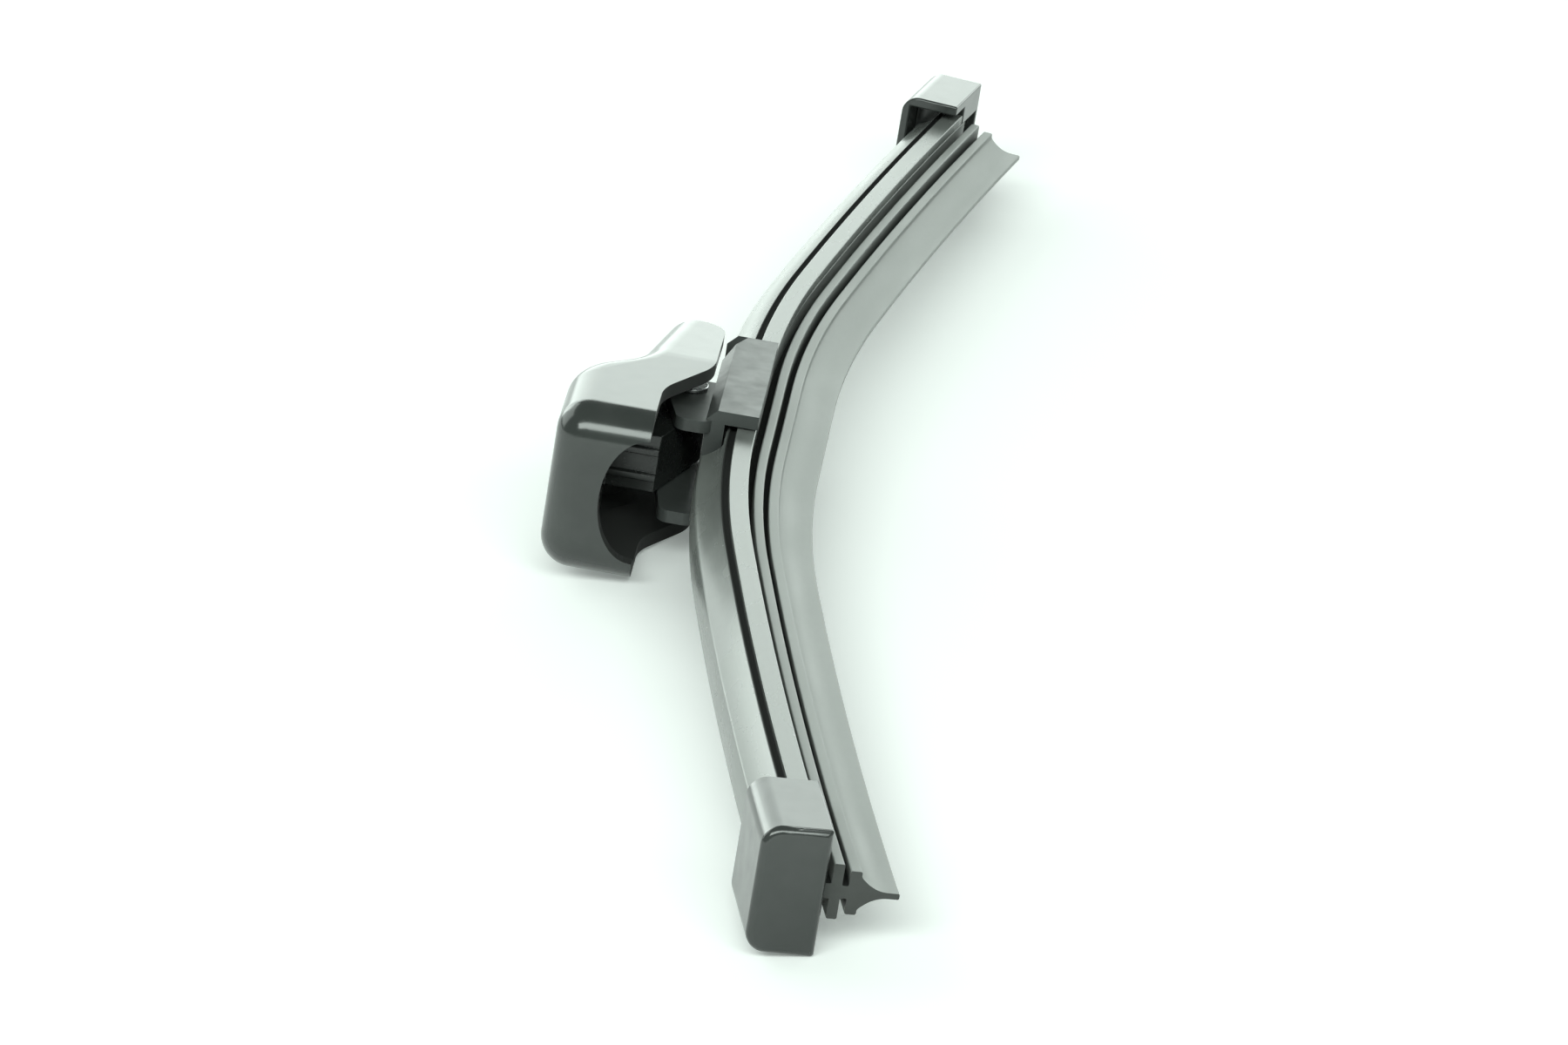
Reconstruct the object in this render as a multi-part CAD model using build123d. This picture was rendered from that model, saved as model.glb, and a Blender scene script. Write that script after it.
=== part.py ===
"""Rear wiper blade: a flat, sprung blade with a hood adapter that rocks on a cross pin.

The blade lies on its side. Y runs along the blade, X points from the hood to the wiped glass and Z is
the width of the blade. Sections are drawn as (depth, width): depth is measured from the middle of the
spring rails towards the glass, width from the middle plane of the blade.
"""
import os
from math import cos, radians, sin

from build123d import *

# Blade line: a straight clamped middle, a tighter bend on both sides, then nearly straight arms
blade_length = 280.0
straight_reach = 12.5
inner_bend_radius = 245.0
inner_bend_angle = 8.9
outer_bend_radius = 1550.0

# Spring rails
rail_width = 3.45
rail_thickness = 0.9
rail_end_gap = 0.6

# Wiping rubber, from the head over the rails to the lip on the glass
head_width = 5.2
head_height = 1.0
web_width = 2.1
base_width = 6.8
base_height = 0.8
neck_width = 1.8
neck_height = 1.0
flange_width = 6.6
flange_height = 1.2
hinge_width = 1.5
hinge_height = 0.75
shoulder_width = 5.2
shoulder_height = 1.3
lip_root_width = 3.9
lip_height = 4.5
lip_edge_width = 0.7
lip_edge_height = 1.2
rubber_far_setback = 6.6

# Spoiler strips, one on each side of the connector
spoiler_width = 10.0
claw_reach = 0.9
crease_level = 0.5
crease_height = 0.8
crease_depth = 0.9
fin_height = 3.0
fin_root_width = 9.4
fin_top_width = 4.6
fin_hollow = 0.35
fin_crown = 0.25
fin_setback = 3.6
tongue_roof = 0.6

# End caps
cap_length = 14.0
cap_width = 15.2
cap_back_wall = 1.15
cap_end_wall = 1.4
cap_mouth_depth = 5.0
cap_mouth_gap = 1.2
cap_corner = 2.4
cap_edge = 0.9

# Centre connector that clamps the rails and carries the cross pin
connector_near_reach = 12.5
connector_far_reach = 16.0
connector_width = 14.0
connector_back_wall = 3.3
connector_bevel = 1.3
connector_corner_cut = 2.6
connector_corner_run = 6.5
pocket_depth = 3.0
pocket_gap = 0.3
cheek_gap = 8.0
cheek_thickness = 1.6
cheek_boss_radius = 3.2
cheek_reach_upper = 1.0
cheek_reach_lower = 8.5
cheek_drop = 0.8
cheek_tip_height = 4.7
cheek_tip_radius = 1.5

# Cross pin
pin_radius = 1.6
pin_head_radius = 2.3
pin_head_height = 0.6
pin_offset = 2.0

# Adapter core that turns on the pin
hub_radius = 2.6
hub_floor_gap = 0.4
core_side_gap = 0.25
core_block_lap = 2.5
core_block_rise = 1.9
core_plate_rise = 8.2
core_plate_thickness = 1.2
core_plate_end_gap = 1.5
core_plate_start = 4.7
core_rib_width = 0.9
core_rib_height = 0.7
core_rib_spacing = 3.4

# Hood, with its levels measured from the cross pin
hood_width = 22.0
hood_neck_step = 0.9
hood_wall = 1.8
hood_nose_reach = 29.0
hood_neck_reach = 12.5
hood_roof_rise = 14.4
hood_roof_length = 18.5
hood_shoulder_rise = 7.2
hood_shoulder_length = 6.5
hood_neck_rise = 4.6
hood_rim_level = 2.9
hood_rim_start = 6.0
hood_mouth_level = 2.6
hood_mouth_start = 16.5
hood_nose_corner = 4.4
hood_edge = 4.0
hood_inner_cut = 1.3
hood_roof_bend = 9.0
hood_shoulder_bend = 9.0
hood_flank_bend = 60.0
hood_neck_corner = 3.5
hood_rim_bend = 10.0
roof_lean_limit = 20.0
mouth_rise = 5.2
mouth_side_wall = 1.1
hood_rib_width = 1.2
hood_rib_spacing = 10.0
hood_rib_end_gap = 0.8
hood_run_out = 6.0

# Clearances
rail_play = 0.05
rubber_play = 0.2
running_play = 0.05
seat_play = 0.1

# Levels and stations worked out from the sizes above
slot_half = rail_thickness / 2 + rail_play
slot_width = web_width + 2 * rail_width + 4 * rail_play
channel_width = head_width + 2 * rubber_play
throat_width = base_width + 2 * rubber_play
head_top = -slot_half - head_height
channel_top = head_top - rubber_play
base_bottom = slot_half + base_height
flange_top = base_bottom + neck_height
flange_bottom = flange_top + flange_height
shoulder_top = flange_bottom + hinge_height
shoulder_bottom = shoulder_top + shoulder_height
lip_tip = shoulder_bottom + lip_height
claw_bottom = slot_half + claw_reach
crease_bottom = -slot_half - crease_level
fin_root = crease_bottom - crease_height
fin_edge = fin_root - fin_height
fin_top = fin_edge - fin_crown
tongue_top = channel_top - tongue_roof
cap_back = fin_top - rubber_play - cap_back_wall
grip_bottom = claw_bottom + seat_play
connector_back = channel_top - connector_back_wall
pin_x = connector_back - hub_floor_gap - hub_radius
pin_y = -pin_offset
half_blade = blade_length / 2
connector_reach = {-1: connector_near_reach, 1: connector_far_reach}
bend_length = inner_bend_radius * radians(inner_bend_angle)
cap_start = half_blade - cap_length
hood_nose = pin_y - hood_nose_reach
hood_end = pin_y + hood_neck_reach
hood_inner_width = hood_width - 2 * hood_wall
hood_neck_width = hood_width - 2 * hood_neck_step
plate_front = pin_x - core_plate_rise
plate_back = plate_front - core_plate_thickness
plate_near = hood_nose + hood_wall + core_plate_start
plate_far = hood_nose + hood_roof_length - core_plate_end_gap
block_near = plate_far - core_block_lap
through = 2 * (hood_width + hood_nose_reach)


def station(distance):
    """Returns the point and heading of the rail line at a signed distance from the middle."""
    side = -1 if distance < 0 else 1
    reach = abs(distance)
    bent = min(max(reach - straight_reach, 0), bend_length) / inner_bend_radius
    swept = bent + max(reach - straight_reach - bend_length, 0) / outer_bend_radius
    x = inner_bend_radius * (1 - cos(bent)) + outer_bend_radius * (cos(bent) - cos(swept))
    y = inner_bend_radius * sin(bent) + outer_bend_radius * (sin(swept) - sin(bent))
    return Vector(x, side * (min(reach, straight_reach) + y)), side * swept


def rail_line(start, end):
    """Returns the rail line between two signed distances as straight runs and tangent arcs."""
    bends = [side * reach for side in (-1, 1) for reach in (straight_reach, straight_reach + bend_length)]
    stops = sorted([start, end] + [bend for bend in bends if start < bend < end])
    edges = []
    for first, last in zip(stops, stops[1:]):
        ends = [station(place)[0] for place in (first, (first + last) / 2, last)]
        straight = abs(first + last) / 2 < straight_reach
        edges.append(Line(ends[0], ends[2]) if straight else ThreePointArc(*ends))
    return Wire([edge.edge() for edge in edges])


def along_blade(section, start, end):
    """Carries a (depth, width) section along the rail line."""
    point, heading = station(start)
    across = (cos(heading), -sin(heading), 0)
    plane = Plane(origin=point, x_dir=across, z_dir=(sin(heading), cos(heading), 0))
    return sweep(plane * section, path=rail_line(start, end))


def strip(low, high, width):
    """Returns a rectangular section between two depths, centred on the middle plane."""
    return Pos((low + high) / 2, 0) * Rectangle(high - low, width)


def symmetric_section(*half_edges):
    """Closes a half outline, drawn from depth axis to depth axis, with its mirror image."""
    half = Curve() + list(half_edges)
    return make_face(half + mirror(half, about=Plane.XZ))


def rubber_section():
    """Head, web between the rails, base, neck, flange, hinge, shoulder and the tapering lip."""
    steps = [
        (head_top, head_width),
        (-slot_half, web_width),
        (slot_half, base_width),
        (base_bottom, neck_width),
        (flange_top, flange_width),
        (flange_bottom, hinge_width),
        (shoulder_top, shoulder_width),
        (shoulder_bottom, lip_root_width),
    ]
    points = [(head_top, 0)]
    for (depth, width), after in zip(steps, steps[1:] + [None]):
        points.append((depth, width / 2))
        if after:
            points.append((after[0], width / 2))
    edge_start = (lip_tip - lip_edge_height, lip_edge_width / 2)
    taper = TangentArc(edge_start, points[-1], tangent=(-1, 0))
    edge = Polyline(edge_start, (lip_tip, lip_edge_width / 2), (lip_tip, 0))
    return symmetric_section(Polyline(*points), taper, edge)


def spoiler_section():
    """Claws round the rail edges, a crease, a hollow-sided fin and a crowned back."""
    claw = [
        (channel_top, 0),
        (channel_top, channel_width / 2),
        (-slot_half, channel_width / 2),
        (-slot_half, slot_width / 2),
        (slot_half, slot_width / 2),
        (slot_half, throat_width / 2),
        (claw_bottom, throat_width / 2),
        (claw_bottom, spoiler_width / 2),
        (crease_bottom, spoiler_width / 2),
        (crease_bottom, spoiler_width / 2 - crease_depth),
        (fin_root, spoiler_width / 2 - crease_depth),
        (fin_root, fin_root_width / 2),
    ]
    flank_middle = ((fin_root + fin_edge) / 2, (fin_root_width + fin_top_width) / 4 - fin_hollow)
    flank = ThreePointArc(claw[-1], flank_middle, (fin_edge, fin_top_width / 2))
    crown = TangentArc((fin_top, 0), (fin_edge, fin_top_width / 2), tangent=(0, 1))
    return symmetric_section(Polyline(*claw), flank, crown)


def grip_section():
    """The space that rails and rubber take up inside a connector or an end cap."""
    return (
        strip(-slot_half, slot_half, slot_width)
        + strip(channel_top, slot_half, channel_width)
        + strip(0, grip_bottom + seat_play, throat_width)
    )


def make_rubber():
    """One extruded rubber strip, held by its head between and behind the rails."""
    near = -(half_blade - cap_end_wall - seat_play)
    return along_blade(rubber_section(), near, half_blade - rubber_far_setback)


def make_rail(side):
    """One flat spring rail in the groove on one side of the rubber."""
    reach = half_blade - cap_end_wall - rail_end_gap
    middle = web_width / 2 + rail_play + rail_width / 2
    section = Pos(0, -side * middle) * Rectangle(rail_thickness, rail_width)
    return along_blade(section, -reach, reach)


def make_spoiler(side):
    """One spoiler strip: its bare tongue enters the connector, its other end an end cap."""
    inner = connector_reach[side] - pocket_depth + seat_play
    outer = cap_start + cap_mouth_depth - seat_play
    fin_start = connector_reach[side] + fin_setback
    body = along_blade(spoiler_section(), *sorted((side * inner, side * outer)))
    notch = strip(fin_top - seat_play, tongue_top, spoiler_width)
    return body - along_blade(notch, *sorted((side * (inner - seat_play), side * fin_start)))


def make_end_cap(side):
    """One moulded cap with a wide mouth, closed at the end of the blade and open to the glass."""
    outline = strip(cap_back, grip_bottom, cap_width)
    outline = fillet(outline.vertices().group_by(Axis.X)[0], cap_corner)
    body = along_blade(outline, *sorted((side * cap_start, side * half_blade)))
    end_face = body.faces().sort_by(Axis.Y)[0 if side < 0 else -1]
    body = fillet(end_face.edges(), cap_edge)
    mouth = strip(fin_top - rubber_play, grip_bottom + seat_play, spoiler_width + 2 * cap_mouth_gap)
    mouth_end = cap_start + cap_mouth_depth
    body -= along_blade(mouth, *sorted((side * (cap_start - seat_play), side * mouth_end)))
    grip_end = half_blade - cap_end_wall
    return body - along_blade(grip_section(), *sorted((side * (mouth_end - seat_play), side * grip_end)))


def make_connector():
    """Clamp round the rails with a pocket at each end and two cheeks for the cross pin."""
    outline = strip(connector_back, grip_bottom, connector_width)
    outline = chamfer(outline.vertices().group_by(Axis.X)[0], connector_bevel)
    body = along_blade(outline, -connector_near_reach, connector_far_reach)
    corner = make_face(Polyline((0, 0), (connector_corner_cut, 0), (0, -connector_corner_run), close=True))
    body -= Pos(connector_back, connector_far_reach) * extrude(corner, connector_width, both=True)
    body -= along_blade(grip_section(), -connector_near_reach - seat_play, connector_far_reach + seat_play)
    pocket = strip(tongue_top - pocket_gap, grip_bottom + seat_play, spoiler_width + 2 * pocket_gap)
    for side in (-1, 1):
        ends = (side * (connector_reach[side] - pocket_depth), side * (connector_reach[side] + seat_play))
        body -= along_blade(pocket, *sorted(ends))
    body += Pos(Z=cheek_gap / 2) * make_cheek(cheek_reach_upper)
    return body + Pos(Z=-cheek_gap / 2 - cheek_thickness) * make_cheek(cheek_reach_lower)


def make_cheek(reach):
    """One cheek: a boss round the pin's bore, drawn out to a round-cornered tip towards the near end."""
    low = connector_back + cheek_drop
    tip = -connector_near_reach - reach + cheek_tip_radius
    tip_rise = cheek_tip_height - 2 * cheek_tip_radius
    boss = Pos(pin_x, pin_y) * Circle(cheek_boss_radius)
    tip_low = Pos(low - cheek_tip_radius, tip) * Circle(cheek_tip_radius)
    tip_high = Pos(low - cheek_tip_radius - tip_rise, tip) * Circle(cheek_tip_radius)
    foot = Line((low, tip), (low, pin_y + cheek_boss_radius))
    outline = make_hull(boss.edges() + tip_low.edges() + tip_high.edges() + foot.edges())
    bore = Pos(pin_x, pin_y) * Circle(pin_radius)
    return extrude(outline - bore, cheek_thickness)


def make_pin():
    """Riveted steel cross pin through both cheeks."""
    span = cheek_gap + 2 * cheek_thickness
    pin = Cylinder(pin_radius, span)
    for side in (-1, 1):
        pin += Pos(0, 0, side * (span + pin_head_height) / 2) * Cylinder(pin_head_radius, pin_head_height)
    return Pos(pin_x, pin_y) * pin


def make_core():
    """Hub on the pin, a ribbed block and the cross plate that carries the hood."""
    hub = Pos(pin_x, pin_y) * Circle(hub_radius)
    corner = (pin_x - core_block_rise, block_near)
    block = Polyline(corner, (plate_front, block_near), (plate_front, plate_far))
    outline = make_hull(hub.edges() + block.edges()) - Pos(pin_x, pin_y) * Circle(pin_radius + running_play)
    core_width = cheek_gap - 2 * core_side_gap
    core = extrude(outline, core_width / 2, both=True)
    plate = Box(core_plate_thickness, plate_far - plate_near, hood_inner_width - 2 * seat_play)
    core += Pos((plate_front + plate_back) / 2, (plate_near + plate_far) / 2) * plate
    rib_length = corner[0] - plate_front
    rib = Box(rib_length, core_rib_height, core_rib_width)
    rib_place = Pos(plate_front + rib_length / 2, block_near - core_rib_height / 2)
    for side in (-1, 1):
        core += rib_place * Pos(Z=side * core_rib_spacing / 2) * rib
    return core


def hood_form(inset, extra):
    """The hood's outer form, or its hollow: inset by a wall and run out past the rim and the neck."""
    roof_end = hood_nose + hood_roof_length
    shoulder_end = roof_end + hood_shoulder_length
    slope = (hood_shoulder_rise - hood_neck_rise) / (hood_end - shoulder_end)
    taper = (hood_width - hood_neck_width) / (hood_end - shoulder_end)
    end = hood_end + extra
    rim = pin_x + hood_rim_level + extra
    mouth = pin_x - hood_mouth_level + extra
    corners = [
        ((mouth, hood_nose), None),
        ((pin_x - hood_roof_rise, hood_nose), None),
        ((pin_x - hood_roof_rise, roof_end), hood_roof_bend),
        ((pin_x - hood_shoulder_rise, shoulder_end), hood_shoulder_bend),
        ((pin_x - hood_neck_rise + slope * extra, end), None),
        ((rim, end), hood_neck_corner),
        ((rim, pin_y - hood_rim_start), hood_rim_bend),
        ((mouth, pin_y - hood_mouth_start), hood_rim_bend),
    ]
    side = make_face(Polyline(*[point for point, _ in corners], close=True))
    for point, radius in corners:
        if radius:
            side = fillet(side.vertices().sort_by_distance(point)[0], radius)
    half = hood_width / 2
    half_neck = (hood_neck_width - taper * extra) / 2
    flank = [(half, hood_nose), (half, shoulder_end), (half_neck, end)]
    plan = make_face(Polyline(*flank, *[(-x, y) for x, y in reversed(flank)], close=True))
    plan = fillet(plan.vertices().group_by(Axis.Y)[0], hood_nose_corner)
    for x in (-half, half):
        plan = fillet(plan.vertices().sort_by_distance((x, shoulder_end))[0], hood_flank_bend)
    if inset:
        side, plan = (offset(face, -inset) for face in (side, plan))
    across = Plane(origin=(0, 0, 0), x_dir=(0, 0, 1), z_dir=(-1, 0, 0))
    return extrude(side, hood_width, both=True) & extrude(across * plan, through, both=True)


def roof_edges(form):
    """Returns the loop of edges round the roof, which faces away from the glass, without its open end."""
    roof = [face for face in form.faces() if face.normal_at().X < -sin(radians(roof_lean_limit))]
    edges = [edge for face in roof for edge in face.edges()]
    outer = [edge for edge in edges if sum(edge.is_same(other) for other in edges) == 1]
    open_end = ShapeList(outer).sort_by(Axis.Y)[-1]
    return [edge for edge in outer if edge is not open_end]


def make_hood():
    """Moulded hood: crowned roof, round nose with an arched mouth, and a neck that takes the arm."""
    outer = fillet(roof_edges(hood_form(0, 0)), hood_edge)
    hollow = chamfer(roof_edges(hood_form(hood_wall, hood_run_out)), hood_inner_cut)
    ribs = Part()
    rib_length = plate_far - plate_near - 2 * hood_rib_end_gap
    rib_box = Box(through, rib_length, hood_rib_width)
    for side in (-1, 1):
        place = Pos(plate_back - through / 2, (plate_near + plate_far) / 2, side * hood_rib_spacing / 2)
        ribs += place * rib_box
    hood = outer - (hollow - ribs)
    arch = Ellipse(mouth_rise, hood_inner_width / 2 - mouth_side_wall)
    arch_plane = Plane(origin=(pin_x - hood_mouth_level, hood_nose, 0), x_dir=(1, 0, 0), z_dir=(0, -1, 0))
    return hood - extrude(arch_plane * arch, 2 * hood_wall, both=True)


def build():
    """Returns every piece by name, in its place, with the part's base centred on the origin."""
    pieces = {
        "wiper_rubber": make_rubber(),
        "spring_rail_upper": make_rail(1),
        "spring_rail_lower": make_rail(-1),
        "spoiler_near": make_spoiler(-1),
        "spoiler_far": make_spoiler(1),
        "end_cap_near": make_end_cap(-1),
        "end_cap_far": make_end_cap(1),
        "centre_connector": make_connector(),
        "pivot_pin": make_pin(),
        "adapter_core": make_core(),
        "adapter_hood": make_hood(),
    }
    box = Compound([solid for piece in pieces.values() for solid in piece.solids()]).bounding_box()
    place = Pos(-box.center().X, -box.center().Y, -box.min.Z)
    return {name: place * piece for name, piece in pieces.items()}, place


if __name__ == "__main__":
    os.makedirs("parts", exist_ok=True)
    parts, origin = build()
    for name, piece in parts.items():
        export_step(piece, f"parts/{name}.step")
        print(name, len(piece.solids()), round(piece.volume, 1))
    print("pin axis", [round(value, 3) for value in (origin * Pos(pin_x, pin_y)).position])
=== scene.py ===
"""Looks of a rear wiper blade: smooth meshes, finishes, soft studio light and the camera.

The blade lies on its side. Y runs along it, X points from the hood to the wiped glass and Z is its width.
Sections are drawn in millimetres as (depth, width). Depth is measured from the middle of the spring rails
towards the glass, and width from the middle plane of the blade.
"""
from __future__ import annotations

import logging
import math
from dataclasses import dataclass
from enum import Enum

import bmesh
import bpy
import numpy as np
from mathutils import Matrix, Vector

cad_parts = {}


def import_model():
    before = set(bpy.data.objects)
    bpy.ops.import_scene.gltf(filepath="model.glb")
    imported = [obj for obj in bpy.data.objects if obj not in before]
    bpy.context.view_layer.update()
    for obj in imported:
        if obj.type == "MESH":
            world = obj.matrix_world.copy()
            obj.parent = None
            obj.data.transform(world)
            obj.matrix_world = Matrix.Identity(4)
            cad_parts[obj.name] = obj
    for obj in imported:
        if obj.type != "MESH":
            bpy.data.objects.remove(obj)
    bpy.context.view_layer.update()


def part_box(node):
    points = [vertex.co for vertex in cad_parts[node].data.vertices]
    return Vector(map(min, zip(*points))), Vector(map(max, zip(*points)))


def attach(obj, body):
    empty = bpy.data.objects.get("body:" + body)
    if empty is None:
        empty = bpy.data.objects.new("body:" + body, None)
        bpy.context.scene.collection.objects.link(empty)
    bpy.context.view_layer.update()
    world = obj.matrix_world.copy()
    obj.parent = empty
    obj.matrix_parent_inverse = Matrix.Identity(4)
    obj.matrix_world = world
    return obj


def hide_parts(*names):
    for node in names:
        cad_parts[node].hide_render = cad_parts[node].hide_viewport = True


LOG = logging.getLogger("wiper_blade")
MM = 0.001
MICRON = 1e-6
# Mesh attribute of painted shade in the spoilers' creases, the rubber's grooves and the hood's hollow; on the
# rubber's cut ends it gives their own dark tone.
PAINTED_SHADE = "painted_shade"
IMAGE_WIDTH = 1800.0
SENSOR_WIDTH = 36.0

# Limits for merging points, dissolving flat edges and shading sharp ones.
NODE_MERGE_DISTANCE = 1e-6
MERGE_DISTANCE = 1e-7
FLAT_ANGLE = math.radians(0.6)
SHARP_ANGLE = math.radians(35)
BEVEL_SEGMENTS = 2

# Points on a rounded corner, and the share of an edge that one rounding may take.
CORNER_STEPS = 4
EDGE_SHARE = 0.45

# The middle stretch of a noise value, where most of the pattern lies.
NOISE_LOW = 0.3
NOISE_HIGH = 0.7

Array = np.ndarray
Colour = tuple[float, float, float]
Material = bpy.types.Material
Socket = bpy.types.NodeSocket


class Body(str, Enum):
    """The two bodies of the part."""

    BLADE = "blade"
    ADAPTER = "adapter"


class Side(int, Enum):
    """The two halves of the blade, by the sign of Y."""

    NEAR = -1
    FAR = 1


class Level(int, Enum):
    """The two rails, by the sign of Z."""

    LOWER = -1
    UPPER = 1


class Slot(str, Enum):
    """Material slots of the record."""

    WIPING_RUBBER = "wiping_rubber"
    SPRING_STEEL = "spring_steel"
    SPOILER_RUBBER = "spoiler_rubber"
    CAP_PLASTIC = "cap_plastic"
    CONNECTOR_PLASTIC = "connector_plastic"
    PIN_STEEL = "pin_steel"
    CORE_PLASTIC = "core_plastic"
    HOOD_PLASTIC = "hood_plastic"


@dataclass(frozen=True)
class Noise:
    """A noise pattern: features in each metre, octaves, and the stretch of its coordinates."""

    scale: float
    detail: float
    stretch: tuple[float, float, float] = (1.0, 1.0, 1.0)


class Shader:
    """A small helper round one material's node tree."""

    def __init__(self, name: str) -> None:
        """Starts a material with a Principled shader.

        Args:
            name: the material's name.
        """
        self.material = bpy.data.materials.new(name)
        self.material.use_nodes = True
        self.nodes = self.material.node_tree.nodes
        self.links = self.material.node_tree.links
        self.surface = self.nodes["Principled BSDF"]
        self.place = self.nodes.new("ShaderNodeTexCoord").outputs["Object"]

    def set(self, **values: float) -> None:
        """Sets uniform values on the shader's own sockets."""
        for name, value in values.items():
            self.surface.inputs[name].default_value = value

    def noise(self, pattern: Noise) -> Socket:
        """Makes a noise texture on Object coordinates times the pattern's stretch.

        Args:
            pattern: the pattern's scale, detail and stretch.

        Returns:
            The socket with the noise value.
        """
        mapping = self.nodes.new("ShaderNodeMapping")
        mapping.inputs["Scale"].default_value = pattern.stretch
        self.links.new(self.place, mapping.inputs["Vector"])
        texture = self.nodes.new("ShaderNodeTexNoise")
        texture.inputs["Scale"].default_value = pattern.scale
        texture.inputs["Detail"].default_value = pattern.detail
        self.links.new(mapping.outputs["Vector"], texture.inputs["Vector"])
        return texture.outputs["Fac"]

    def spread(self, value: Socket, low: float, high: float) -> Socket:
        """Maps the middle stretch of a noise value in a straight line to a range.

        Args:
            value: the noise value.
            low: the result at the stretch's lower end.
            high: the result at its upper end.

        Returns:
            The socket with the mapped value.
        """
        ramp = self.nodes.new("ShaderNodeMapRange")
        ramp.inputs["From Min"].default_value = NOISE_LOW
        ramp.inputs["From Max"].default_value = NOISE_HIGH
        ramp.inputs["To Min"].default_value = low
        ramp.inputs["To Max"].default_value = high
        self.links.new(value, ramp.inputs["Value"])
        return ramp.outputs["Result"]

    def blend(self, share: Socket, colour: Colour) -> bpy.types.Node:
        """Makes a colour mix whose first tone is still open.

        Args:
            share: share of the second tone.
            colour: the second tone.

        Returns:
            The mix node.
        """
        mix = self.nodes.new("ShaderNodeMix")
        mix.data_type = "RGBA"
        mix.inputs["B"].default_value = (*colour, 1.0)
        self.links.new(share, mix.inputs["Factor"])
        return mix

    def colours(self, value: Socket, dark: Colour, light: Colour) -> None:
        """Colours the surface between two tones by a noise value.

        Args:
            value: the noise value.
            dark: tone where the value is low.
            light: tone where it is high.
        """
        mix = self.blend(self.spread(value, 0.0, 1.0), light)
        mix.inputs["A"].default_value = (*dark, 1.0)
        self.links.new(mix.outputs["Result"], self.surface.inputs["Base Color"])

    def roughness(self, value: Socket, low: float, high: float) -> None:
        """Varies the roughness between two limits by a noise value."""
        self.links.new(self.spread(value, low, high), self.surface.inputs["Roughness"])

    def painted_shade(self, colour: Colour) -> None:
        """Paints shade: darkens and dulls a surface that already has its colours and roughness.

        The mesh's attribute gives the share of painted shade. The base colour is mixed with the shade's
        colour by that share, and the roughness is at least the share.

        Args:
            colour: the painted shade's colour.
        """
        share = self.nodes.new("ShaderNodeAttribute")
        share.attribute_name = PAINTED_SHADE
        base = self.surface.inputs["Base Color"]
        mix = self.blend(share.outputs["Fac"], colour)
        self.links.new(base.links[0].from_socket, mix.inputs["A"])
        self.links.new(mix.outputs["Result"], base)
        rough = self.surface.inputs["Roughness"]
        dull = self.nodes.new("ShaderNodeMath")
        dull.operation = "MAXIMUM"
        self.links.new(rough.links[0].from_socket, dull.inputs[0])
        self.links.new(share.outputs["Fac"], dull.inputs[1])
        self.links.new(dull.outputs["Value"], rough)

    def bumps(self, value: Socket, depth: float, strength: float) -> None:
        """Adds relief to the normal, on top of any relief that is there.

        Args:
            value: the height pattern.
            depth: height of the relief in metres.
            strength: share of the relief that shows.
        """
        bump = self.nodes.new("ShaderNodeBump")
        bump.inputs["Strength"].default_value = strength
        bump.inputs["Distance"].default_value = depth
        self.links.new(value, bump.inputs["Height"])
        normal = self.surface.inputs["Normal"]
        if normal.is_linked:
            self.links.new(normal.links[0].from_socket, bump.inputs["Normal"])
        self.links.new(bump.outputs["Normal"], normal)


@dataclass(frozen=True)
class MouldedPlastic:
    """Dark moulded plastic with a fine spark grain and slow changes of tone and gloss."""

    name: str
    dark: Colour
    light: Colour
    rough_low: float
    rough_high: float
    index: float
    grain_depth: float
    # Colour of the painted shade in the hood's hollow.
    painted_shade: Colour = (0.004, 0.005, 0.004)
    grain: Noise = Noise(3200.0, 2.0)
    grain_strength: float = 0.15
    gloss: Noise = Noise(420.0, 4.0)
    cloud: Noise = Noise(140.0, 3.0)
    cloud_depth: float = 40 * MICRON
    cloud_strength: float = 0.05

    def material(self) -> Material:
        """Returns the finish as a material: tones and gloss by slow noise, then painted shade, grain and
        waves.
        """
        shader = Shader(self.name)
        shader.set(IOR=self.index)
        cloud = shader.noise(self.cloud)
        shader.colours(cloud, self.dark, self.light)
        shader.roughness(shader.noise(self.gloss), self.rough_low, self.rough_high)
        shader.painted_shade(self.painted_shade)
        shader.bumps(shader.noise(self.grain), self.grain_depth, self.grain_strength)
        shader.bumps(cloud, self.cloud_depth, self.cloud_strength)
        return shader.material


@dataclass(frozen=True)
class ExtrudedRubber:
    """Extruded rubber with fine draw lines along the blade, pores and dusty patches."""

    name: str
    dark: Colour
    light: Colour
    rough_low: float
    rough_high: float
    line_depth: float
    index: float = 1.5
    # Colour of the painted shade in grooves and creases, and the dark tone of the rubber's cut ends.
    painted_shade: Colour = (0.004, 0.005, 0.004)
    lines: Noise = Noise(2600.0, 3.0, (1.0, 0.03, 1.0))
    line_strength: float = 0.5
    dust: Noise = Noise(190.0, 5.0, (1.0, 0.35, 1.0))
    pores: Noise = Noise(1500.0, 4.0)
    pore_depth: float = 12 * MICRON
    pore_strength: float = 0.35

    def material(self) -> Material:
        """Returns the finish as a material: dust sets tone and gloss, then painted shade, draw lines and
        pores.
        """
        shader = Shader(self.name)
        shader.set(IOR=self.index)
        dust = shader.noise(self.dust)
        shader.colours(dust, self.dark, self.light)
        shader.roughness(dust, self.rough_low, self.rough_high)
        shader.painted_shade(self.painted_shade)
        shader.bumps(shader.noise(self.lines), self.line_depth, self.line_strength)
        shader.bumps(shader.noise(self.pores), self.pore_depth, self.pore_strength)
        return shader.material


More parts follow.
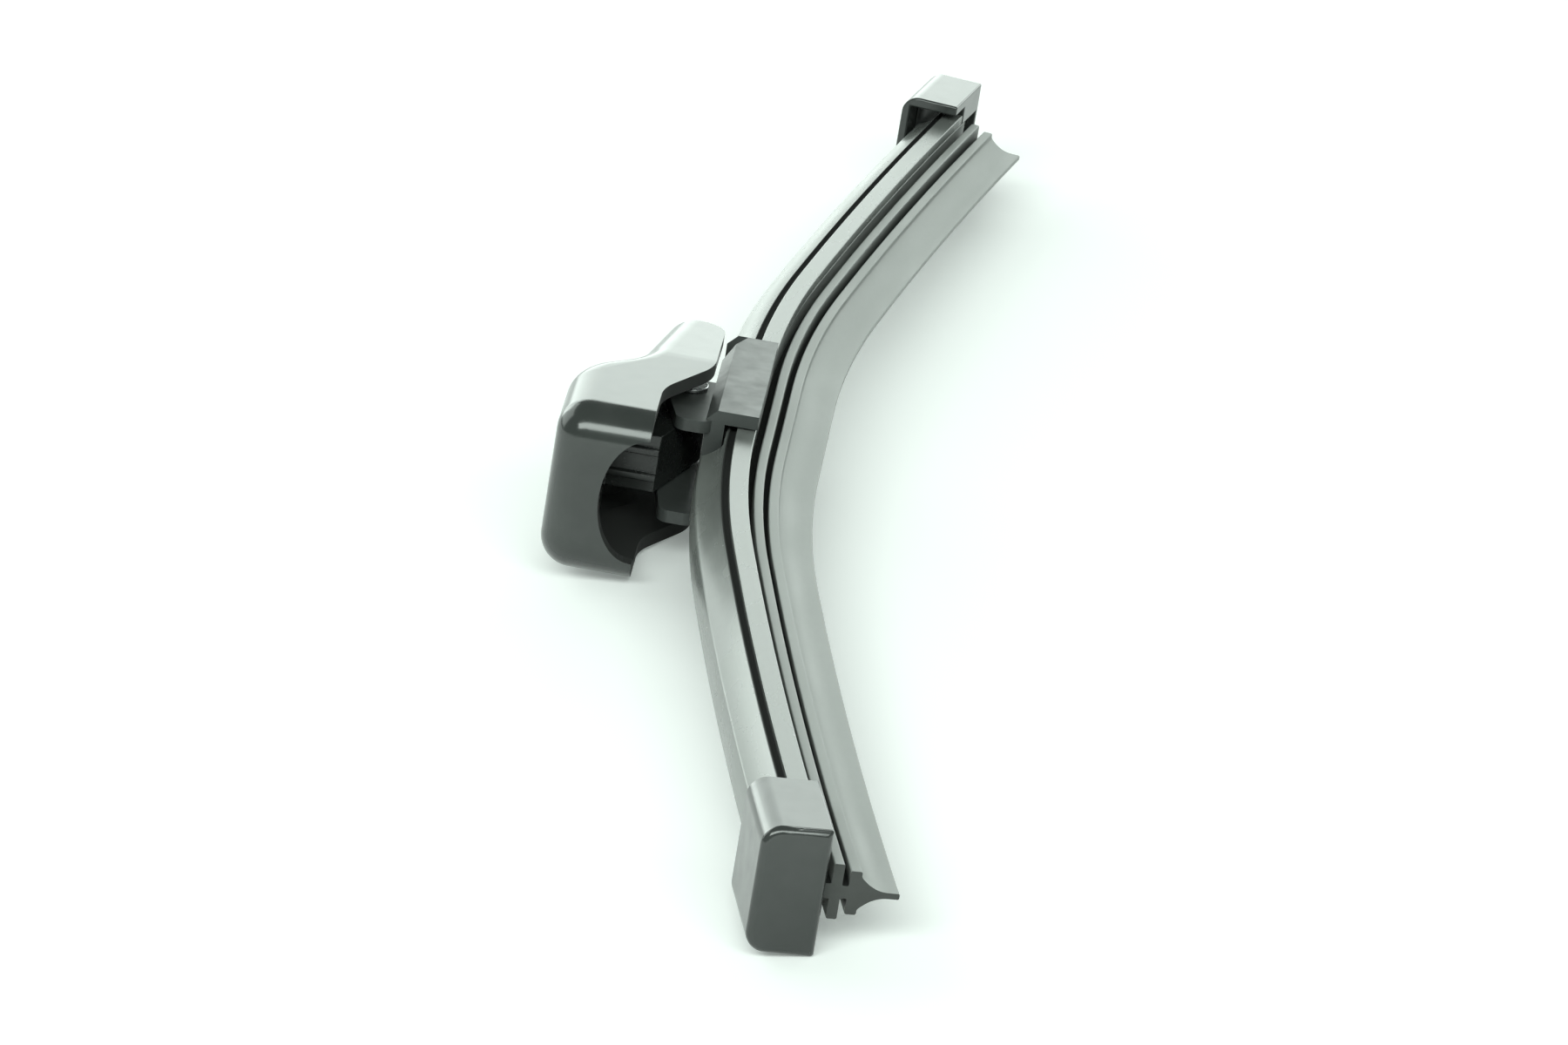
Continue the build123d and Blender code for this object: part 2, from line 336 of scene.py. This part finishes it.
@dataclass(frozen=True)
class RolledSteel:
    """Bright rolled or turned steel with fine marks."""

    name: str
    colour: Colour
    rough_low: float
    rough_high: float
    marks: Noise
    mark_depth: float = 6 * MICRON
    mark_strength: float = 0.4
    cloud: Noise = Noise(260.0, 3.0)
    shade: float = 0.8

    def material(self) -> Material:
        """Returns the finish as a material: slow changes of tone, and marks that set gloss and relief."""
        shader = Shader(self.name)
        shader.set(Metallic=1.0)
        dark = tuple(self.shade * part for part in self.colour)
        marks = shader.noise(self.marks)
        shader.colours(shader.noise(self.cloud), dark, self.colour)
        shader.roughness(marks, self.rough_low, self.rough_high)
        shader.bumps(marks, self.mark_depth, self.mark_strength)
        return shader.material


@dataclass(frozen=True)
class BladeLine:
    """The line of the spring rails: straight in the middle, a tighter bend, then nearly straight arms."""

    shift: float
    half_length: float = 140.0
    straight_reach: float = 12.5
    inner_radius: float = 245.0
    inner_angle: float = math.radians(8.9)
    outer_radius: float = 1550.0

    def stations(self, distances: Array) -> tuple[Array, Array]:
        """Works out points and headings of the line.

        The heading grows along the inner arc up to its full angle, then along the outer arc. Each arc's point
        is its radius times (1 - cos, sin) of the angle turned.

        Args:
            distances: signed distances from the middle, in millimetres.

        Returns:
            An array of (x, y) and an array of headings in radians.
        """
        side = np.where(distances < 0, -1.0, 1.0)
        reach = np.abs(distances)
        bend_length = self.inner_radius * self.inner_angle
        bent = np.clip(reach - self.straight_reach, 0, bend_length) / self.inner_radius
        swept = bent + np.maximum(reach - self.straight_reach - bend_length, 0) / self.outer_radius
        x = self.inner_radius * (1 - np.cos(bent)) + self.outer_radius * (np.cos(bent) - np.cos(swept))
        y = self.inner_radius * np.sin(bent) + self.outer_radius * (np.sin(swept) - np.sin(bent))
        along = side * (np.minimum(reach, self.straight_reach) + y)
        return np.stack([x + self.shift, along], axis=-1), side * swept

    def carry(self, sections: Array, distances: Array, mid_height: float) -> Array:
        """Carries sections along the line.

        Each point is the station plus its depth across the heading, and its width is the height.

        Args:
            sections: (depth, width) points, one outline for all stations or one for each.
            distances: signed distances of the stations.
            mid_height: height of the blade's middle plane.

        Returns:
            Points in metres, by station and outline point.
        """
        points, headings = self.stations(distances)
        sections = np.broadcast_to(sections, (len(distances), *sections.shape[-2:]))
        depth = sections[..., 0]
        width = sections[..., 1]
        turn = headings[:, None]
        x = points[:, :1] + depth * np.cos(turn)
        y = points[:, 1:] - depth * np.sin(turn)
        return np.stack([x, y, width + mid_height], axis=-1) * MM


def rounded_outline(corners: Array, radius: float) -> Array:
    """Rounds the corners of a closed outline.

    Each corner becomes a quadratic curve from a point before it to a point after it. Both points lie the
    radius away from the corner, or less where an edge is short.

    Args:
        corners: (depth, width) corners in order.
        radius: wanted distance of each curve's ends from its corner.

    Returns:
        The outline's points.
    """
    to_last = np.roll(corners, 1, axis=0) - corners
    to_next = np.roll(corners, -1, axis=0) - corners
    long_last = np.linalg.norm(to_last, axis=1)
    long_next = np.linalg.norm(to_next, axis=1)
    reach = np.minimum(radius, EDGE_SHARE * np.minimum(long_last, long_next))[:, None]
    start = corners + to_last / long_last[:, None] * reach
    end = corners + to_next / long_next[:, None] * reach
    t = np.linspace(0.0, 1.0, CORNER_STEPS)[None, :, None]
    curve = (1 - t) ** 2 * start[:, None] + 2 * t * (1 - t) * corners[:, None] + t ** 2 * end[:, None]
    return curve.reshape(-1, 2)


def mirrored(half: Array) -> Array:
    """Closes a half outline, drawn from the middle plane to the middle plane, with its mirror image."""
    return np.concatenate([half, half[::-1] * np.array([1.0, -1.0])])


def spaced(start: float, end: float, pitch: float) -> Array:
    """Returns evenly spaced stations from start to end, about a pitch apart."""
    return np.linspace(start, end, max(2, round(abs(end - start) / pitch) + 1))


@dataclass(frozen=True)
class Piece:
    """Makes, dresses and places the mesh that stands for one CAD node. Its bevel is in millimetres."""

    name: str
    body: Body
    slot: Slot
    material: Material
    bevel: float = 0.0

    def from_rings(self, rings: Array, painted_shade: Array | None = None, end_dark: float = 0.0) -> None:
        """Makes a closed piece from rings of points: quads between the rings and a face on each end.

        Args:
            rings: points by station and outline point, in metres.
            painted_shade: share of painted shade at each outline point.
            end_dark: share of darkening on both end faces.
        """
        stations, count = rings.shape[:2]
        index = np.arange(stations * count).reshape(stations, count)
        after = np.roll(index, -1, axis=1)
        quads = np.stack([index[:-1], after[:-1], after[1:], index[1:]], axis=-1).reshape(-1, 4)
        faces = quads.tolist() + [index[0, ::-1].tolist(), index[-1].tolist()]
        mesh = bpy.data.meshes.new(self.name)
        mesh.from_pydata(rings.reshape(-1, 3), [], faces)
        if painted_shade is not None:
            shares = np.tile(painted_shade, (stations, 1))
            shares[[0, -1]] = end_dark
            mesh.attributes.new(PAINTED_SHADE, "FLOAT", "POINT").data.foreach_set("value", shares.ravel())
        self.finish(mesh)

    def from_node(self, shade_inside: bool) -> None:
        """Makes a piece from a merged copy of its CAD node.

        Args:
            shade_inside: whether faces that look inwards get painted shade, matt and dark.
        """
        mesh = bpy.data.objects[self.name].data.copy()
        shape = bmesh.new()
        shape.from_mesh(mesh)
        bmesh.ops.remove_doubles(shape, verts=shape.verts, dist=NODE_MERGE_DISTANCE)
        bmesh.ops.dissolve_limit(shape, angle_limit=FLAT_ANGLE, verts=shape.verts, edges=shape.edges)
        shape.to_mesh(mesh)
        shape.free()
        # The hood's hollow gets painted shade.
        if shade_inside:
            self.paint_inside_shade(mesh)
        self.finish(mesh)

    def paint_inside_shade(self, mesh: bpy.types.Mesh) -> None:
        """Paints full shade on the faces that look inwards, in the hollow where shade falls.

        A face looks inwards where its normal points towards the middle of the node's glass side: the product
        of the normal and the way there, summed over the axes, is above zero.

        Args:
            mesh: the merged copy of the node's mesh.
        """
        low, high = (np.array(corner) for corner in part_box(self.name))
        middle = (low + high) / 2
        middle[0] = high[0]
        centres = np.empty((len(mesh.polygons), 3))
        normals = np.empty_like(centres)
        mesh.polygons.foreach_get("center", centres.ravel())
        mesh.polygons.foreach_get("normal", normals.ravel())
        inside = ((middle - centres) * normals).sum(axis=1) > 0
        # Painted shade: full share on the inward faces.
        mesh.attributes.new(PAINTED_SHADE, "FLOAT", "FACE").data.foreach_set("value", inside.astype(float))

    def finish(self, mesh: bpy.types.Mesh) -> None:
        """Merges, turns outwards, shades and bevels the mesh, and puts it in place of its CAD node.

        Args:
            mesh: the piece's mesh, in the part's frame.
        """
        shape = bmesh.new()
        shape.from_mesh(mesh)
        bmesh.ops.remove_doubles(shape, verts=shape.verts, dist=MERGE_DISTANCE)
        bmesh.ops.recalc_face_normals(shape, faces=shape.faces)
        shape.to_mesh(mesh)
        shape.free()
        mesh.materials.clear()
        mesh.materials.append(self.material)
        mesh.polygons.foreach_set("use_smooth", np.ones(len(mesh.polygons), bool))
        mesh.set_sharp_from_angle(angle=SHARP_ANGLE)
        piece = bpy.data.objects.new(self.name + "_look", mesh)
        bpy.context.scene.collection.objects.link(piece)
        if self.bevel:
            rounding = piece.modifiers.new("edges", "BEVEL")
            rounding.width = self.bevel * MM
            rounding.segments = BEVEL_SEGMENTS
            rounding.limit_method = "ANGLE"
            rounding.angle_limit = SHARP_ANGLE
            rounding.use_clamp_overlap = True
        even = piece.modifiers.new("normals", "WEIGHTED_NORMAL")
        even.keep_sharp = True
        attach(piece, self.body.value)
        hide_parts(self.name)
        LOG.info("%s: %d faces", piece.name, len(mesh.polygons))


@dataclass(frozen=True)
class RailSlots:
    """Sizes that rubber, rails and spoilers share, in millimetres."""

    web_width: float = 2.1
    rail_width: float = 3.45
    rail_thickness: float = 0.9
    play: float = 0.05

    @property
    def half(self) -> float:
        """Half the height of the slot that a rail lies in."""
        return self.rail_thickness / 2 + self.play

    @property
    def width(self) -> float:
        """Width over both slots."""
        return self.web_width + 2 * self.rail_width + 4 * self.play


@dataclass(frozen=True)
class WipingStrip:
    """The rubber: head, web between the rails, base, neck, flange, hinge, shoulder and a tapering lip."""

    line: BladeLine
    slots: RailSlots
    mid_height: float
    head_width: float = 5.2
    head_height: float = 1.0
    base_width: float = 6.8
    base_height: float = 0.8
    neck_width: float = 1.8
    neck_height: float = 1.0
    flange_width: float = 6.6
    flange_height: float = 1.2
    hinge_width: float = 1.5
    hinge_height: float = 0.75
    shoulder_width: float = 5.2
    shoulder_height: float = 1.3
    lip_root_width: float = 3.9
    lip_height: float = 4.5
    lip_edge_width: float = 0.7
    lip_edge_height: float = 1.2
    taper_power: float = 2.2
    taper_steps: int = 9
    near_setback: float = 1.5
    far_setback: float = 6.6
    corner: float = 0.22
    pitch: float = 3.0
    cut_edge: float = 0.05
    # Share of darkening on the cut ends: the rubber's own dark tone, against the skin's lighter tone, which
    # is partly painted sheen.
    cut_end_dark: float = 0.8

    def outline(self) -> Array:
        """Draws the section.

        The levels are the running sum of the heights, and each stretch between two levels has its own width.
        Below the shoulder, the lip's extra width falls as a power of the share of the taper that is left.

        Returns:
            The section's (depth, width) points, with rounded corners.
        """
        heights = [self.head_height, 2 * self.slots.half, self.base_height, self.neck_height]
        heights += [self.flange_height, self.hinge_height, self.shoulder_height]
        widths = [self.head_width, self.slots.web_width, self.base_width, self.neck_width]
        widths += [self.flange_width, self.hinge_width, self.shoulder_width]
        levels = -self.slots.half - self.head_height + np.concatenate([[0.0], np.cumsum(heights)])
        steps = np.stack([np.repeat(levels, 2)[1:-1], np.repeat(widths, 2) / 2], axis=-1)
        lip_root = levels[-1]
        fall = np.linspace(0.0, 1.0, self.taper_steps)
        extra_width = (self.lip_root_width - self.lip_edge_width) * (1 - fall) ** self.taper_power
        taper_depth = lip_root + fall * (self.lip_height - self.lip_edge_height)
        taper = np.stack([taper_depth, (self.lip_edge_width + extra_width) / 2], axis=-1)
        edge = np.array([[lip_root + self.lip_height, self.lip_edge_width / 2]])
        return rounded_outline(mirrored(np.concatenate([steps, taper, edge])), self.corner)

    def painted_shade(self, outline: Array) -> Array:
        """Works out the painted shade: full in the grooves beside neck and hinge, which lie above the lip.

        Args:
            outline: the section's points.

        Returns:
            The share at each point.
        """
        above_lip = outline[:, 0] < outline[:, 0].max() - self.lip_height - self.corner
        near_middle = np.abs(outline[:, 1]) < self.neck_width / 2 + self.corner
        return (above_lip & near_middle).astype(float)

    def build(self, material: Material) -> None:
        """Makes the rubber strip. Its cut ends are darker than the drawn skin, from a thin edge on: they keep
        the rubber's own dark tone, while the skin's lighter tone is partly painted sheen.

        Args:
            material: the strip's finish.
        """
        near = self.near_setback - self.line.half_length
        far = self.line.half_length - self.far_setback
        skin = spaced(near + self.cut_edge, far - self.cut_edge, self.pitch)
        outline = self.outline()
        rings = self.line.carry(outline, np.concatenate([[near], skin, [far]]), self.mid_height)
        strip = Piece("wiper_rubber", Body.BLADE, Slot.WIPING_RUBBER, material)
        # Painted shade in the grooves beside neck and hinge, and the dark cut ends.
        strip.from_rings(rings, self.painted_shade(outline), self.cut_end_dark)


@dataclass(frozen=True)
class SpringRails:
    """Two flat spring rails in the rubber's side grooves."""

    line: BladeLine
    slots: RailSlots
    mid_height: float
    end_setback: float = 2.0
    corner: float = 0.2
    bevel: float = 0.1
    pitch: float = 4.0

    def build(self, material: Material) -> None:
        """Makes both rails: a rounded rectangle on each side of the web, carried along the line.

        Args:
            material: the rails' finish.
        """
        half = np.array([self.slots.rail_thickness, self.slots.rail_width]) / 2
        outline = rounded_outline(np.array([[-1, -1], [1, -1], [1, 1], [-1, 1]]) * half, self.corner)
        middle = self.slots.web_width / 2 + self.slots.play + self.slots.rail_width / 2
        reach = self.line.half_length - self.end_setback
        distances = spaced(-reach, reach, self.pitch)
        for name, level in (("spring_rail_upper", Level.UPPER), ("spring_rail_lower", Level.LOWER)):
            section = outline + np.array([0.0, level.value * middle])
            rings = self.line.carry(section, distances, self.mid_height)
            Piece(name, Body.BLADE, Slot.SPRING_STEEL, material, self.bevel).from_rings(rings)


@dataclass(frozen=True)
class SpoilerStrips:
    """Two strips with claws round the rail edges, a crease, and a hollow-sided fin with a crowned back."""

    line: BladeLine
    slots: RailSlots
    mid_height: float
    width: float = 10.0
    channel_width: float = 5.6
    channel_top: float = -1.7
    throat_width: float = 7.2
    claw_reach: float = 0.9
    crease_level: float = 0.5
    crease_height: float = 0.8
    crease_depth: float = 0.9
    fin_height: float = 3.0
    fin_root_width: float = 9.4
    fin_top_width: float = 4.6
    fin_hollow: float = 0.35
    fin_crown: float = 0.25
    flank_steps: int = 9
    crown_steps: int = 4
    crown_edge: float = 0.8
    crown_middle: float = 0.2
    near_reach: float = 12.5
    far_reach: float = 16.0
    pocket_depth: float = 2.9
    fin_setback: float = 3.6
    fin_ramp: float = 0.5
    tongue_roof: float = 0.6
    cap_cover: float = 9.1
    corner: float = 0.16
    tongue_pitch: float = 1.0
    fin_pitch: float = 3.0

    @property
    def crease(self) -> float:
        """Depth of the crease's glass side."""
        return -self.slots.half - self.crease_level

    def outline(self) -> Array:
        """Draws the full section.

        The fin's sides run straight from root to top, less a hollow that follows a parabola. The back's crown
        falls with the square of the share of the half width.

        Returns:
            The section's (depth, width) points, with rounded corners.
        """
        slot = self.slots.half
        claw = slot + self.claw_reach
        root = self.crease - self.crease_height
        crease_wall = self.width / 2 - self.crease_depth
        strip = np.array([
            [self.channel_top, self.channel_width / 2],
            [-slot, self.channel_width / 2],
            [-slot, self.slots.width / 2],
            [slot, self.slots.width / 2],
            [slot, self.throat_width / 2],
            [claw, self.throat_width / 2],
            [claw, self.width / 2],
            [self.crease, self.width / 2],
            [self.crease, crease_wall],
            [root, crease_wall],
        ])
        rise = np.linspace(0.0, 1.0, self.flank_steps)
        flank = (self.fin_root_width + (self.fin_top_width - self.fin_root_width) * rise) / 2
        flank = flank - 4 * self.fin_hollow * rise * (1 - rise)
        fin = np.stack([root - self.fin_height * rise, flank], axis=-1)
        across = np.linspace(self.crown_edge, self.crown_middle, self.crown_steps)
        crown_depth = root - self.fin_height - self.fin_crown * (1 - across ** 2)
        crown = np.stack([crown_depth, across * self.fin_top_width / 2], axis=-1)
        return rounded_outline(mirrored(np.concatenate([strip, fin, crown])), self.corner)

    def painted_shade(self, outline: Array) -> Array:
        """Works out the painted shade: full in the creases and none elsewhere.

        Args:
            outline: the section's points.

        Returns:
            The share at each point.
        """
        depth = outline[:, 0]
        reach = np.abs(outline[:, 1])
        before_fin = depth > self.crease - self.crease_height - self.corner
        behind_claw = depth < self.crease + self.corner
        in_crease = (reach < self.width / 2 - self.corner) & (reach > self.channel_width / 2 + self.corner)
        return (before_fin & behind_claw & in_crease).astype(float)

    def build(self, material: Material) -> None:
        """Makes both strips.

        Near the connector no point is further back than a bare tongue's roof. That limit then ramps in a
        straight line to the full height of the fin.

        Args:
            material: the strips' finish.
        """
        outline = self.outline()
        roof_levels = [self.channel_top - self.tongue_roof, outline[:, 0].min()]
        outer = self.line.half_length - self.cap_cover
        plan = (("spoiler_near", Side.NEAR, self.near_reach), ("spoiler_far", Side.FAR, self.far_reach))
        for name, side, reach in plan:
            fin_start = reach + self.fin_setback
            fin_full = fin_start + self.fin_ramp
            tongue = spaced(reach - self.pocket_depth, fin_start, self.tongue_pitch)
            distances = np.concatenate([tongue, spaced(fin_full, outer, self.fin_pitch)])
            roof = np.interp(distances, [fin_start, fin_full], roof_levels)
            sections = np.broadcast_to(outline, (len(distances), *outline.shape)).copy()
            sections[..., 0] = np.maximum(sections[..., 0], roof[:, None])
            rings = self.line.carry(sections, side.value * distances, self.mid_height)
            strip = Piece(name, Body.BLADE, Slot.SPOILER_RUBBER, material)
            # Painted shade in the creases.
            strip.from_rings(rings, self.painted_shade(outline))


@dataclass(frozen=True)
class MouldedParts:
    """The rigid moulded pieces and the pin, made from their CAD nodes with rounded edges."""

    cap_bevel: float = 0.22
    connector_bevel: float = 0.2
    core_bevel: float = 0.15
    hood_bevel: float = 0.15
    pin_bevel: float = 0.15

    def build(self, finishes: dict[Slot, Material]) -> None:
        """Makes end caps, connector, pin, core and hood. The hood's hollow gets painted shade, matt and dark.

        Args:
            finishes: the material of every slot.
        """
        plan = (
            ("end_cap_near", Body.BLADE, Slot.CAP_PLASTIC, self.cap_bevel),
            ("end_cap_far", Body.BLADE, Slot.CAP_PLASTIC, self.cap_bevel),
            ("centre_connector", Body.BLADE, Slot.CONNECTOR_PLASTIC, self.connector_bevel),
            ("pivot_pin", Body.BLADE, Slot.PIN_STEEL, self.pin_bevel),
            ("adapter_core", Body.ADAPTER, Slot.CORE_PLASTIC, self.core_bevel),
            ("adapter_hood", Body.ADAPTER, Slot.HOOD_PLASTIC, self.hood_bevel),
        )
        for name, body, slot, bevel in plan:
            # The hood's hollow gets painted shade.
            Piece(name, body, slot, finishes[slot], bevel).from_node(slot is Slot.HOOD_PLASTIC)


def all_finishes() -> dict[Slot, Material]:
    """Makes the material of every slot.

    Returns:
        The materials by slot.
    """
    looks = {
        Slot.HOOD_PLASTIC: MouldedPlastic(
            name="hood_plastic",
            dark=(0.028, 0.032, 0.03),
            light=(0.04, 0.045, 0.042),
            rough_low=0.14,
            rough_high=0.2,
            index=1.63,
            grain_depth=9 * MICRON,
        ),
        Slot.CAP_PLASTIC: MouldedPlastic(
            name="cap_plastic",
            dark=(0.027, 0.031, 0.029),
            light=(0.039, 0.043, 0.041),
            rough_low=0.15,
            rough_high=0.22,
            index=1.6,
            grain_depth=9 * MICRON,
        ),
        Slot.CONNECTOR_PLASTIC: MouldedPlastic(
            name="connector_plastic",
            dark=(0.05, 0.055, 0.053),
            light=(0.07, 0.076, 0.073),
            rough_low=0.36,
            rough_high=0.46,
            index=1.5,
            grain_depth=10 * MICRON,
        ),
        Slot.CORE_PLASTIC: MouldedPlastic(
            name="core_plastic",
            dark=(0.016, 0.018, 0.017),
            light=(0.024, 0.027, 0.025),
            rough_low=0.22,
            rough_high=0.3,
            index=1.6,
            grain_depth=10 * MICRON,
        ),
        Slot.WIPING_RUBBER: ExtrudedRubber(
            name="wiping_rubber",
            # Lighter than black rubber: partly the graphite-coated skin's own grey, partly painted sheen.
            dark=(0.22, 0.23, 0.22),
            light=(0.3, 0.312, 0.301),
            rough_low=0.42,
            rough_high=0.54,
            line_depth=8 * MICRON,
        ),
        Slot.SPOILER_RUBBER: ExtrudedRubber(
            name="spoiler_rubber",
            dark=(0.14, 0.148, 0.141),
            light=(0.195, 0.206, 0.195),
            rough_low=0.23,
            rough_high=0.31,
            line_depth=6 * MICRON,
        ),
        Slot.SPRING_STEEL: RolledSteel(
            name="spring_steel",
            colour=(0.55, 0.56, 0.55),
            rough_low=0.2,
            rough_high=0.36,
            marks=Noise(2200.0, 4.0, (1.0, 0.03, 1.0)),
        ),
        Slot.PIN_STEEL: RolledSteel(
            name="pin_steel",
            colour=(0.52, 0.53, 0.53),
            rough_low=0.22,
            rough_high=0.36,
            marks=Noise(2200.0, 4.0, (1.0, 1.0, 0.1)),
        ),
    }
    return {slot: look.material() for slot, look in looks.items()}


def bearing(azimuth: float, elevation: float) -> Vector:
    """Works out a direction: sine and cosine of the azimuth, flattened by the elevation's cosine.

    Args:
        azimuth: degrees from -Y, the camera's side, towards +X.
        elevation: degrees above the floor.

    Returns:
        The unit vector.
    """
    turn = math.radians(azimuth)
    rise = math.radians(elevation)
    return Vector((math.sin(turn) * math.cos(rise), -math.cos(turn) * math.cos(rise), math.sin(rise)))


@dataclass(frozen=True)
class Lamp:
    """A soft rectangular lamp: metres across, degrees to it from the part, and radiance, where 1 is white."""

    name: str
    width: float
    height: float
    azimuth: float
    elevation: float
    radiance: float


@dataclass(frozen=True)
class Studio:
    """Pale floor under the leaning blade, soft lamps and the camera at the photograph's angle."""

    lean: float
    rest_point: Vector
    mid_height: float
    floor_size: float = 12.0
    floor_shade: float = 0.9
    floor_glow: float = 0.2
    sky: float = 0.2
    tint: Colour = (0.9, 1.0, 0.945)
    lamp_distance: float = 1.4
    lamps: tuple[Lamp, ...] = (
        Lamp("back_window", 2.8, 0.9, 180.0, 17.0, 3.2),
        Lamp("front_top_strip", 1.8, 0.5, 0.0, 40.0, 7.0),
        Lamp("left_window", 1.2, 1.0, -120.0, 25.0, 2.0),
    )
    azimuth: float = 4.26
    elevation: float = 20.7
    roll: float = -1.4
    distance: float = 917.0
    focal_pixels: float = 8590.0
    target: tuple[float, float] = (3.9, -29.8)
    clip_start: float = 0.01
    clip_end: float = 100.0

    def ground(self) -> Matrix:
        """Returns the floor's frame, which leans against the part's about the length of the blade."""
        return Matrix.Translation(self.rest_point) @ Matrix.Rotation(-self.lean, 4, "Y")

    def floor_finish(self) -> Material:
        """Makes a matt pale material that also glows, for camera, glossy and transmission rays alone.

        Returns:
            The floor's material.
        """
        material = bpy.data.materials.new("pale_floor")
        material.use_nodes = True
        nodes = material.node_tree.nodes
        links = material.node_tree.links
        nodes.remove(nodes["Principled BSDF"])
        matt = nodes.new("ShaderNodeBsdfDiffuse")
        matt.inputs["Color"].default_value = (self.floor_shade, self.floor_shade, self.floor_shade, 1.0)
        light_path = nodes.new("ShaderNodeLightPath")
        seen = light_path.outputs["Is Camera Ray"]
        for ray in ("Is Glossy Ray", "Is Transmission Ray"):
            either = nodes.new("ShaderNodeMath")
            either.operation = "MAXIMUM"
            links.new(seen, either.inputs[0])
            links.new(light_path.outputs[ray], either.inputs[1])
            seen = either.outputs["Value"]
        level = nodes.new("ShaderNodeMath")
        level.operation = "MULTIPLY"
        links.new(seen, level.inputs[0])
        level.inputs[1].default_value = self.floor_glow
        glow = nodes.new("ShaderNodeEmission")
        glow.inputs["Color"].default_value = (*self.tint, 1.0)
        links.new(level.outputs["Value"], glow.inputs["Strength"])
        both = nodes.new("ShaderNodeAddShader")
        links.new(matt.outputs["BSDF"], both.inputs[0])
        links.new(glow.outputs["Emission"], both.inputs[1])
        links.new(both.outputs["Shader"], nodes["Material Output"].inputs["Surface"])
        return material

    def floor(self) -> None:
        """Makes the floor, a square in the ground's frame."""
        corners = np.array([[-1, -1, 0], [1, -1, 0], [1, 1, 0], [-1, 1, 0]]) * self.floor_size / 2
        mesh = bpy.data.meshes.new("floor")
        mesh.from_pydata(corners, [], [[0, 1, 2, 3]])
        mesh.materials.append(self.floor_finish())
        floor = bpy.data.objects.new("floor", mesh)
        floor.matrix_world = self.ground()
        bpy.context.scene.collection.objects.link(floor)

    def light(self, lamp: Lamp) -> None:
        """Adds one lamp, aimed at the part. Its energy is radiance times area times pi.

        Args:
            lamp: the lamp's size, place and radiance.
        """
        data = bpy.data.lights.new(lamp.name, "AREA")
        data.shape = "RECTANGLE"
        data.size = lamp.width
        data.size_y = lamp.height
        data.color = self.tint
        data.energy = lamp.radiance * math.pi * lamp.width * lamp.height
        way = bearing(lamp.azimuth, lamp.elevation)
        aim = way.to_track_quat("Z", "Y").to_matrix().to_4x4()
        placed = bpy.data.objects.new(lamp.name, data)
        placed.matrix_world = self.ground() @ Matrix.Translation(way * self.lamp_distance) @ aim
        bpy.context.scene.collection.objects.link(placed)

    def even_sky(self) -> None:
        """Adds an even sky in the lamps' tint."""
        world = bpy.data.worlds.new("studio")
        world.use_nodes = True
        background = world.node_tree.nodes["Background"]
        background.inputs["Color"].default_value = (*self.tint, 1.0)
        background.inputs["Strength"].default_value = self.sky
        bpy.context.scene.world = world

    def camera(self) -> None:
        """Adds the camera.

        It looks back along its bearing at the target, in the frame of the floor. Its level axes are turned
        by the roll, and its lens is the focal length in pixels times the sensor's width over the picture's.
        """
        back = bearing(self.azimuth, self.elevation)
        turn = math.radians(self.azimuth)
        roll = math.radians(self.roll)
        level = Vector((math.cos(turn), math.sin(turn), 0.0))
        steep = back.cross(level)
        right = level * math.cos(roll) - steep * math.sin(roll)
        up = level * math.sin(roll) + steep * math.cos(roll)
        place = Matrix((right, up, back)).transposed().to_4x4()
        place.translation = Vector((*self.target, 0.0)) * MM + back * self.distance * MM
        data = bpy.data.cameras.new("camera")
        data.sensor_width = SENSOR_WIDTH
        data.lens = self.focal_pixels / IMAGE_WIDTH * SENSOR_WIDTH
        data.clip_start = self.clip_start
        data.clip_end = self.clip_end
        camera = bpy.data.objects.new("camera", data)
        tilt = Matrix.Rotation(-self.lean, 4, "Y")
        camera.matrix_world = Matrix.Translation((0.0, 0.0, self.mid_height * MM)) @ tilt @ place
        bpy.context.scene.collection.objects.link(camera)
        bpy.context.scene.camera = camera

    def build(self) -> None:
        """Makes the floor, the lamps, the sky and the camera."""
        self.floor()
        for lamp in self.lamps:
            self.light(lamp)
        self.even_sky()
        self.camera()
        bpy.context.scene.view_settings.view_transform = "Standard"


def resting_lean() -> tuple[float, Vector]:
    """Works out how the part leans when it lies on the hood's lower side and the caps' lower edges.

    The lean's tangent is the caps' height above the hood's lower side over the run between them along X.

    Returns:
        The lean in radians and a point where the hood meets the floor.
    """
    hood_low, hood_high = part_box("adapter_hood")
    cap_low, cap_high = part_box("end_cap_near")
    run = cap_high.x - hood_high.x
    return math.atan2(cap_low.z - hood_low.z, run), Vector((hood_high.x, 0.0, hood_low.z))


def main() -> None:
    """Builds every sub-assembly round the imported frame, then the studio."""
    logging.basicConfig(level=logging.INFO, format="%(name)s %(message)s")
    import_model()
    finishes = all_finishes()
    slots = RailSlots()
    hood_low, hood_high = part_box("adapter_hood")
    mid_height = (hood_low.z + hood_high.z) / 2 / MM
    rail_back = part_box("spring_rail_upper")[0].x / MM
    line = BladeLine(shift=rail_back + slots.rail_thickness / 2)
    WipingStrip(line, slots, mid_height).build(finishes[Slot.WIPING_RUBBER])
    SpringRails(line, slots, mid_height).build(finishes[Slot.SPRING_STEEL])
    SpoilerStrips(line, slots, mid_height).build(finishes[Slot.SPOILER_RUBBER])
    MouldedParts().build(finishes)
    lean, rest_point = resting_lean()
    LOG.info("lean %.2f degrees", math.degrees(lean))
    Studio(lean, rest_point, mid_height).build()


if __name__ == "__main__":
    main()
